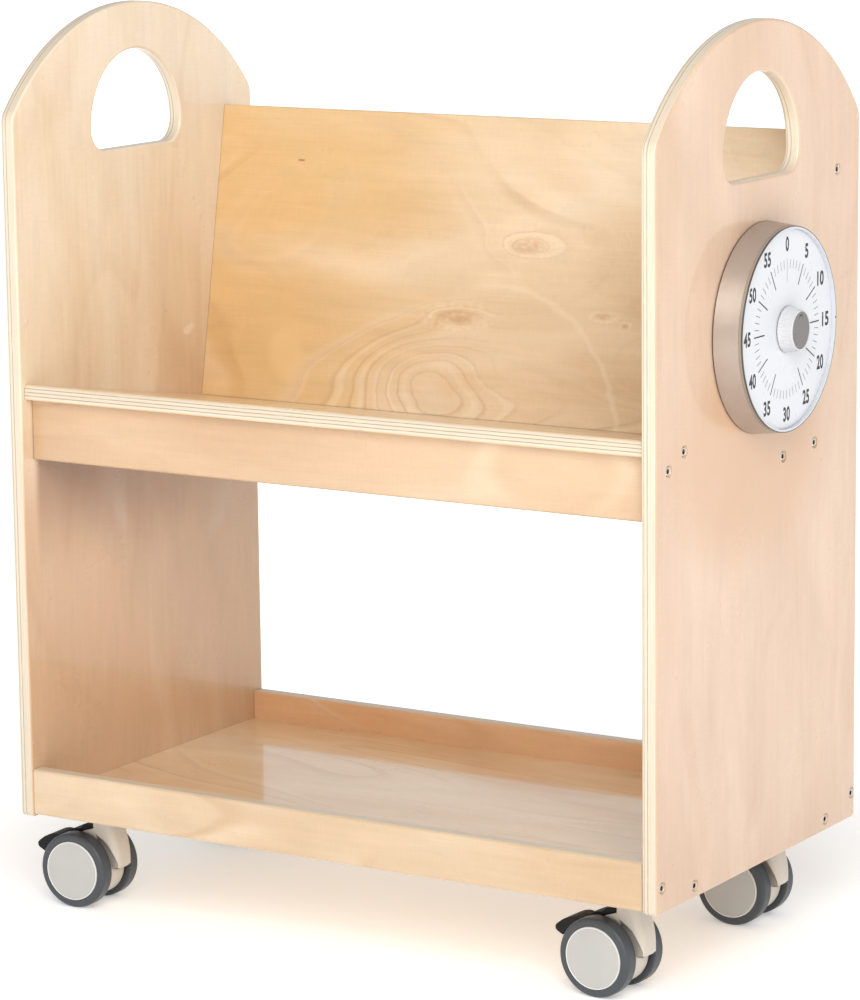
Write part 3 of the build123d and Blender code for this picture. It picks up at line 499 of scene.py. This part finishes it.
def make_sky():
    """A white sky, brightest at the horizon."""
    world = bpy.data.worlds.new("studio")
    world.use_nodes = True
    nodes, links = world.node_tree.nodes, world.node_tree.links
    height = nodes.new("ShaderNodeSeparateXYZ")
    links.new(nodes.new("ShaderNodeTexCoord").outputs["Generated"], height.inputs[0])
    strength = nodes.new("ShaderNodeMapRange")
    strength.inputs["To Min"].default_value = SKY_LOW
    strength.inputs["To Max"].default_value = SKY_HIGH
    links.new(height.outputs["Z"], strength.inputs["Value"])
    links.new(strength.outputs[0], nodes["Background"].inputs["Strength"])
    nodes["Background"].inputs["Color"].default_value = WHITE
    bpy.context.scene.world = world


def make_floor():
    """A white floor. It glows more away from the cart, so that its far part is as white as the sky."""
    s = Shader("floor")
    place = s.place()
    tone = s.shade(FLOOR_TONE, s.spread(s.noise(place, 3.0, 4.0), 0.3, 0.7, 0.99, 1.01))
    glow = s.spread(s.length(place), 0.45, 1.1, 0.30, 0.78)
    s.surface({"Base Color": tone, "Roughness": 0.9, "Specular IOR Level": 0.1,
               "Emission Color": WHITE, "Emission Strength": glow})
    mesh = bpy.data.meshes.new("floor")
    corners = [(x * FLOOR_REACH, y * FLOOR_REACH, 0) for x, y in ((-1, -1), (1, -1), (1, 1), (-1, 1))]
    mesh.from_pydata(corners, [], [(0, 1, 2, 3)])
    mesh.materials.append(s.material)
    floor = bpy.data.objects.new("floor", mesh)
    bpy.context.scene.collection.objects.link(floor)


def make_studio():
    """Sky, one large soft box in front and to the right, and the floor."""
    bpy.context.scene.view_settings.view_transform = "Standard"
    make_sky()
    area_light("key", (1.75, -2.95, 2.5), (0.0, 0.0, 0.45), 2.2, 116.0, "FFFCF9")
    make_floor()


# ---------------------------------------------------------------- boards
APRON_TONES = ("BC9773", "C3A27E", "CCAD8C")
LIP_TONES = ("C4A580", "CFB493", "D7C0A2")
REAR_LIP_TONES = ("D29D70", "DAAA7E", "E0B58C")
# LEFT_TONES are lighter than RIGHT_TONES: painted light, for the brighter light on the left panel's inner
# face.
LEFT_TONES = ("DEC5A4", "E4CFB3", "E8D8C1")
RIGHT_TONES = ("CBAB8D", "D0B196", "D6B9A0")
BACK_TONES = ("D1B28A", "DBC09C", "E4CFB2")
SHELF_TONES = ("DBB88F", "E2C6A0", "EBD4B4")
GOLDEN = "D6B17C"
PALE = "EBDDC6"

# Where the boards between the side panels butt against them, as (axis, distance).
HALF_LENGTH = (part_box("lower_shelf")[1].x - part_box("lower_shelf")[0].x) / 2
ENDS = ((0, -HALF_LENGTH), (0, HALF_LENGTH))


def dress_side_panels():
    """The arched panels. Shade is painted onto the left one's inner face behind the apron, and a darker
    tone onto its lower part as painted shade.
    """
    panel = {"axes": "zyx", "plies": PANEL_PLIES, "count": 6.0, "figure": 0.4}
    low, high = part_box("side_panel_left")
    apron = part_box("upper_apron")[0] - (low + high) / 2
    # Painted shade (8A5C36) on the left panel's inner face, in a band just under the apron.
    shade = (apron.z + 10 * MM, 0.14, apron.y, "8A5C36")
    left_flecks = [(0.224, -0.075, 4 * MM, 2.5 * MM, PALE), (0.179, 0.101, 4 * MM, 2 * MM, PALE),
                   (0.055, 0.079, 5 * MM, 12 * MM, PALE), (0.043, -0.047, 4 * MM, 3 * MM, PALE)]
    # Its sweep turns the left panel's lower part darker and pinker (D0AC88): painted shade for the dimmer
    # light low down.
    assign("side_panel_left", plywood(
        "side_panel_left", seed=1.0, tones=LEFT_TONES, flecks=left_flecks,
        sweep=(-0.12, 0.02, "D0AC88"), shade_band=shade, **panel))
    right_patch = [(0.0, -0.02, 0.12, 0.20, "C8A07C")]
    assign("side_panel_right", plywood(
        "side_panel_right", seed=2.0, tones=RIGHT_TONES, flecks=right_patch, **panel))


def dress_upper_boards():
    """The sloping shelf, the back panel with its eyes, arc and golden end, and the apron."""
    assign("upper_shelf", plywood(
        "upper_shelf", "xyz", 3.0, SHELF_TONES, tilted=(0.0, 0.0, -BOARD / 2),
        seams=(*ENDS, (1, SHELF_TO_BACK))))
    eyes = [(0.034, 0.173, 0.031, 0.0105), (-0.042, 0.099, 0.038, 0.0125),
            (0.123, 0.110, 0.014, 0.005), (0.146, 0.101, 0.006, 0.004)]
    swirls = [(-0.070, 0.030, 0.070, 0.045)]
    marks = [(-0.2396, 0.245, 6 * MM, 1.2 * MM, "8A5A34"),
             (-0.240, 0.050, 28 * MM, 34 * MM, "DDBB86")]
    arcs = [(0.0, -0.014, 0.146, 0.146)]
    assign("back_panel", plywood(
        "back_panel", "xzy", 4.0, BACK_TONES, count=17.0, figure=1.2, eyes=eyes, swirls=swirls,
        flecks=marks, sweep=(-0.33, 0.02, GOLDEN), arcs=arcs,
        tilted=(0.0, SHELF_TO_BACK + BOARD / 2, 0.0), seams=(*ENDS, (1, -0.1 * MM))))
    assign("upper_apron", plywood("upper_apron", "xzy", 5.0, APRON_TONES, seams=ENDS))


def dress_lower_boards():
    """The lower shelf, glossier than the others, and its two lips."""
    assign("lower_shelf", plywood(
        "lower_shelf", "xyz", 6.0, SHELF_TONES, gloss=0.16, coat=0.9, seams=ENDS))
    for node, seed, tones in (
        ("lower_front_lip", 7.0, LIP_TONES),
        ("lower_rear_lip", 8.0, REAR_LIP_TONES),
    ):
        assign(node, plywood(node, "xzy", seed, tones, LIP_PLIES, seams=ENDS))


# ---------------------------------------------------------------- hardware and casters
HUB_RIM = 28.0 * MM             # where the thin raised rim of a wheel's hub starts


def hub_rim(joint):
    """A tone change that paints a white highlight on the thin raised rim of one wheel's hub."""
    centre = Vector(joint["pos_m"])
    axis = Vector(joint["axis"])

    def change(s, place, tone):
        offset = s.vector("SUBTRACT", place, centre)
        radius = s.length(s.vector("CROSS_PRODUCT", offset, axis))
        rim_highlight = s.spread(radius, HUB_RIM, HUB_RIM + 0.6 * MM)
        return s.mix(rim_highlight, tone, colour("E4E4E1"))

    return change


def dress_hardware():
    """Screws, casters and the timer's plain pieces."""
    # Painted shade darkens the screws' sockets and the rims of their sunk heads.
    nickel = metal("nickel", "C6BFB7", 0.16, scratch=0.05, crevice_shade=(1.5 * MM, 0.12))
    zinc = metal("zinc", "B9BCBE", 0.35)
    # Painted shade darkens the housing in its recesses beside the wheels.
    housing = moulded("caster_housing", "D2CABE", 0.40, 1100.0, 0.03, soft_edge=1.0 * MM,
                      crevice_shade=(10 * MM, 0.45))
    rubber = moulded("tyre", "45494E", 0.40, 700.0, 0.08, 0.03)
    pedal = moulded("brake_pedal", "222224", 0.55, 800.0, 0.10, 0.04, 0.2, soft_edge=0.8 * MM)
    by_ending = {
        "_housing": housing, "_tyre_outer": rubber, "_tyre_inner": rubber, "_brake_pedal": pedal,
        "_pedal_pin": zinc, "_kingpin": zinc, "_axle": zinc, "_caster_plate": zinc,
        "_swivel_bearing": zinc,
    }
    for node in NODES:
        for ending, material in by_ending.items():
            if node.endswith(ending) and not node.startswith("timer"):
                assign(node, material)
        if "_hub_" in node:
            rim_highlight = hub_rim(JOINTS[node.replace("_hub_", "_wheel_") + "_spin"])
            assign(node, moulded(f"wheel_{node}", "B8B7B4", 0.38, 900.0, 0.02, tone_change=rim_highlight))
    assign("side_screws", nickel)
    assign("caster_screws", zinc)
    assign("timer_screws", zinc)
    assign("timer_spindle", zinc)
    assign("wooden_dowels", dowel_wood())


# ---------------------------------------------------------------- timer
DIAL_LOW, DIAL_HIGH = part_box("timer_dial")
DIAL_RADIUS = (DIAL_HIGH.z - DIAL_LOW.z) / 2
DIAL_MIDDLE = Vector((DIAL_HIGH.x, 0.0, (DIAL_LOW.z + DIAL_HIGH.z) / 2))
INK_LIFT = 0.05 * MM            # how far print stands out from the dial
MINUTES = 60

# The dial's marks: inner and outer end as shares of its radius, and width. The one at 0 is thin.
MINUTE_MARK = (0.61, 0.70, 0.75 * MM)
FIVE_MINUTE_MARK = (0.485, 0.71, 1.25 * MM)
ZERO_MARK = (0.47, 0.71, 0.6 * MM)

FIGURE_HEIGHT = 13.5 * MM
FIGURE_WIDTH = 6.6 * MM
FIGURE_RADIUS = 0.855 * DIAL_RADIUS
FIGURE_BOLDNESS = 0.033         # how far the font's outlines are pushed out
FIGURE_SPACING = 1.05

KNOB_RIBS = 84
STEPS_PER_RIB = 6
RIB_DEPTH = 0.45 * MM

CRESCENT_RADIUS = 9.5 * MM      # from the knob's axis
CRESCENT_INNER = 3.6 * MM
CRESCENT_OUTER = 5.2 * MM
CRESCENT_HALF_TURN = 80         # degrees
CRESCENT_STEPS = 16


def on_dial(radius, turn, lift=INK_LIFT, front=DIAL_MIDDLE.x):
    """A point on the timer at a radius and a clockwise turn from the top, as seen from the front."""
    return Vector((front + lift, radius * sin(turn), DIAL_MIDDLE.z + radius * cos(turn)))


def mesh_piece(name, vertices, faces, material, body, smooth=False):
    """A new mesh piece that rides on a body and takes its finish from a slot."""
    mesh = bpy.data.meshes.new(name)
    mesh.from_pydata(vertices, [], faces)
    mesh.materials.append(material)
    mesh.polygons.foreach_set("use_smooth", [smooth] * len(mesh.polygons))
    piece = bpy.data.objects.new(name, mesh)
    bpy.context.scene.collection.objects.link(piece)
    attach(piece, body)
    return piece


def ink(name, code):
    """Printed ink, slightly uneven and a little glossier than the dial."""
    s = Shader(name)
    density = s.noise(s.place(), 1500.0, 2.0)
    tone = s.shade(colour(code), s.spread(density, 0.3, 0.7, 0.85, 1.15))
    return s.surface({"Base Color": tone, "Roughness": s.spread(density, 0.3, 0.7, 0.4, 0.55)})


def tick(turn, inner, outer, width):
    """Four corners of a radial line on the dial. Its ends are shares of the dial's radius."""
    across = on_dial(1.0, turn + pi / 2, 0.0) - on_dial(0.0, 0.0, 0.0)
    near, far = on_dial(inner * DIAL_RADIUS, turn), on_dial(outer * DIAL_RADIUS, turn)
    half = across * (width / 2)
    return [near - half, near + half, far + half, far - half]


def print_ticks():
    """Sixty minute marks. Those every five minutes are longer and darker, but for the one at 30."""
    grey, dark = [], []
    for minute in range(MINUTES):
        turn = 2 * pi * minute / MINUTES
        if minute == 0:
            grey.append(tick(turn, *ZERO_MARK))
        elif minute % 5 or minute == 30:
            grey.append(tick(turn, *MINUTE_MARK))
        else:
            dark.append(tick(turn, *FIVE_MINUTE_MARK))
    for name, marks, material in (
        ("dial_minute_marks", grey, ink("grey_ink", "6E7177")),
        ("dial_five_minute_marks", dark, ink("ink", "17181B")),
    ):
        vertices = [corner for mark in marks for corner in mark]
        faces = [tuple(range(4 * number, 4 * number + 4)) for number in range(len(marks))]
        mesh_piece(name, vertices, faces, material, "cart_body")


def digit_mesh(text):
    """Vertices, faces and size of upright bold figures, flat in XY and centred on the origin."""
    curve = bpy.data.curves.new("figures", "FONT")
    curve.body = text
    curve.align_x = "CENTER"
    curve.offset = FIGURE_BOLDNESS
    curve.space_character = FIGURE_SPACING
    writer = bpy.data.objects.new("figures", curve)
    mesh = bpy.data.meshes.new_from_object(writer)
    vertices = [vertex.co.copy() for vertex in mesh.vertices]
    faces = [tuple(polygon.vertices) for polygon in mesh.polygons]
    bpy.data.objects.remove(writer)
    bpy.data.curves.remove(curve)
    low = Vector([min(v[axis] for v in vertices) for axis in range(3)])
    high = Vector([max(v[axis] for v in vertices) for axis in range(3)])
    middle = (low + high) / 2
    return [v - middle for v in vertices], faces, high - low


def print_numerals():
    """Upright numbers every five minutes round the dial."""
    vertices, faces = [], []
    for minute in range(0, MINUTES, 5):
        flat, figure_faces, size = digit_mesh(str(minute))
        wide = FIGURE_WIDTH * len(str(minute)) / size.x
        tall = FIGURE_HEIGHT / size.y
        centre = on_dial(FIGURE_RADIUS, 2 * pi * minute / MINUTES)
        start = len(vertices)
        vertices += [centre + Vector((0.0, v.x * wide, v.y * tall)) for v in flat]
        faces += [tuple(start + index for index in face) for face in figure_faces]
    mesh_piece("dial_numerals", vertices, faces, ink("numeral_ink", "0C0C0E"), "cart_body")


def bezel_dot():
    """A small dark dot on the bezel's front, beside 15."""
    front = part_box("timer_bezel")[1].x
    centre = on_dial(DIAL_RADIUS + 1.4 * MM, pi / 2, 0.03 * MM, front)
    radius, count = 1.0 * MM, 24
    turns = [2 * pi * step / count for step in range(count)]
    vertices = [centre + Vector((0.0, radius * sin(turn), radius * cos(turn))) for turn in turns]
    faces = [tuple(range(count))]
    mesh_piece("bezel_dot", vertices, faces, ink("dot", "1B1B1E"), "cart_body")


def knob_profile():
    """Rings (share of the depth, radius, ribbed) from the dial to the front and into the cap's seat."""
    low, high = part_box("timer_knob")
    cap_low, cap_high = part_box("timer_knob_cap")
    base_radius = (high.z - low.z) / 2
    cap_radius = (cap_high.z - cap_low.z) / 2
    front_radius = cap_radius + 1.3 * MM
    taper = front_radius - base_radius
    profile = [(0.0, base_radius - 0.8 * MM, False), (0.04, base_radius - 0.1 * MM, False)]
    profile += [(share, base_radius + taper * share, True) for share in (0.09, 0.3, 0.6, 0.90)]
    profile += [(0.95, base_radius + taper * 0.95, False), (0.99, front_radius - 0.2 * MM, False),
                (1.0, front_radius - 0.6 * MM, False), (1.0, cap_radius + 0.1 * MM, False),
                (0.86, cap_radius + 0.05 * MM, False)]
    return profile


def knob():
    """Tapered knob with fine ribs round its side, which stands for the plain CAD knob."""
    low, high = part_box("timer_knob")
    depth = high.x - low.x
    profile = knob_profile()
    around = KNOB_RIBS * STEPS_PER_RIB
    vertices, faces = [], []
    for share, radius, ribbed in profile:
        for step in range(around):
            dip = RIB_DEPTH * (0.5 - 0.5 * cos(2 * pi * step / STEPS_PER_RIB)) if ribbed else 0.0
            vertices.append(on_dial(radius - dip, 2 * pi * step / around, 0.0, low.x + depth * share))
    for ring in range(len(profile) - 1):
        for step in range(around):
            a = ring * around + step
            b = ring * around + (step + 1) % around
            faces.append((b, a, a + around, b + around))
    # Painted shade darkens the knob at its base by the dial and between its ribs.
    silver = moulded("knob_silver", "C4C5C7", 0.3, 900.0, 0.03, crevice_shade=(2 * MM, 0.5))
    piece = mesh_piece("knob_ribbed", vertices, faces, silver, "timer_knob", smooth=True)
    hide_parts("timer_knob")


def knob_mark():
    """A small dark crescent on the cap near its top, which shows where the knob points."""
    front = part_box("timer_knob_cap")[1].x
    centre = on_dial(CRESCENT_RADIUS, 0.0, 0.02 * MM, front)
    vertices, faces = [], []
    for step in range(CRESCENT_STEPS + 1):
        share = step / CRESCENT_STEPS
        turn = radians(CRESCENT_HALF_TURN * (2 * share - 1))
        outer = CRESCENT_INNER + (CRESCENT_OUTER - CRESCENT_INNER) * sin(pi * share)
        for radius in (CRESCENT_INNER, outer):
            vertices.append(centre + Vector((0.0, radius * sin(turn), radius * cos(turn))))
    for step in range(CRESCENT_STEPS):
        a = 2 * step
        faces.append((a, a + 1, a + 3, a + 2))
    mesh_piece("knob_crescent", vertices, faces, ink("crescent", "1E1D1D"), "timer_knob")


def timer_radius(s, place):
    """Distance from the timer's axis."""
    offset = s.vector("SUBTRACT", place, DIAL_MIDDLE)
    return s.length(s.vector("MULTIPLY", offset, (0.0, 1.0, 1.0)))


def bezel_tone(s, place, tone):
    """Pale silver in front, champagne round its side and a thin dark line between the two."""
    low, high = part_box("timer_bezel")
    outer = (high.z - low.z) / 2
    radius = timer_radius(s, place)
    side = s.spread(radius, outer - 0.5 * MM, outer - 0.3 * MM)
    tone = s.mix(side, tone, colour("8F8378"))
    edge = s.spread(radius, outer - 1.5 * MM, outer - 0.9 * MM)
    front = s.spread(s.split(place)[0], high.x - 1.6 * MM, high.x - 1.2 * MM)
    return s.mix(s.math("MULTIPLY", edge, front), tone, colour("4A4743"))


def drum_tone(s, place, tone):
    """Champagne paint with a dark seam where the drum meets the panel."""
    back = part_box("timer_housing")[0].x
    out = s.split(place)[0]
    seam = s.spread(out, back + 0.9 * MM, back + 1.6 * MM, 1.0, 0.0)
    return s.mix(seam, tone, colour("5A4A3C"))


def dress_timer():
    """The timer's shells, dial, print and knob."""
    assign("timer_housing", metal("champagne", "B6AAA0", 0.38, (2200.0, 60.0, 60.0), 0.08, 0.6,
                                  tone_change=drum_tone))
    assign("timer_back_plate", moulded("timer_back", "3A3733", 0.5))
    assign("timer_bezel", moulded("timer_bezel", "C3C8CD", 0.25, 900.0, 0.03, tone_change=bezel_tone))
    assign("timer_dial", moulded("timer_dial", "D1D3D8", 0.30, 1200.0, 0.012, 0.01))
    assign("timer_movement", moulded("timer_movement", "26262A", 0.5))
    assign("timer_knob", moulded("timer_knob", "D9DADC", 0.3, 900.0, 0.03))
    assign("timer_knob_cap", moulded("timer_knob_cap", "6B6764", 0.30, 900.0, 0.05))
    print_ticks()
    print_numerals()
    bezel_dot()
    knob()
    knob_mark()


make_camera()
make_studio()
dress_side_panels()
dress_upper_boards()
dress_lower_boards()
dress_hardware()
dress_timer()
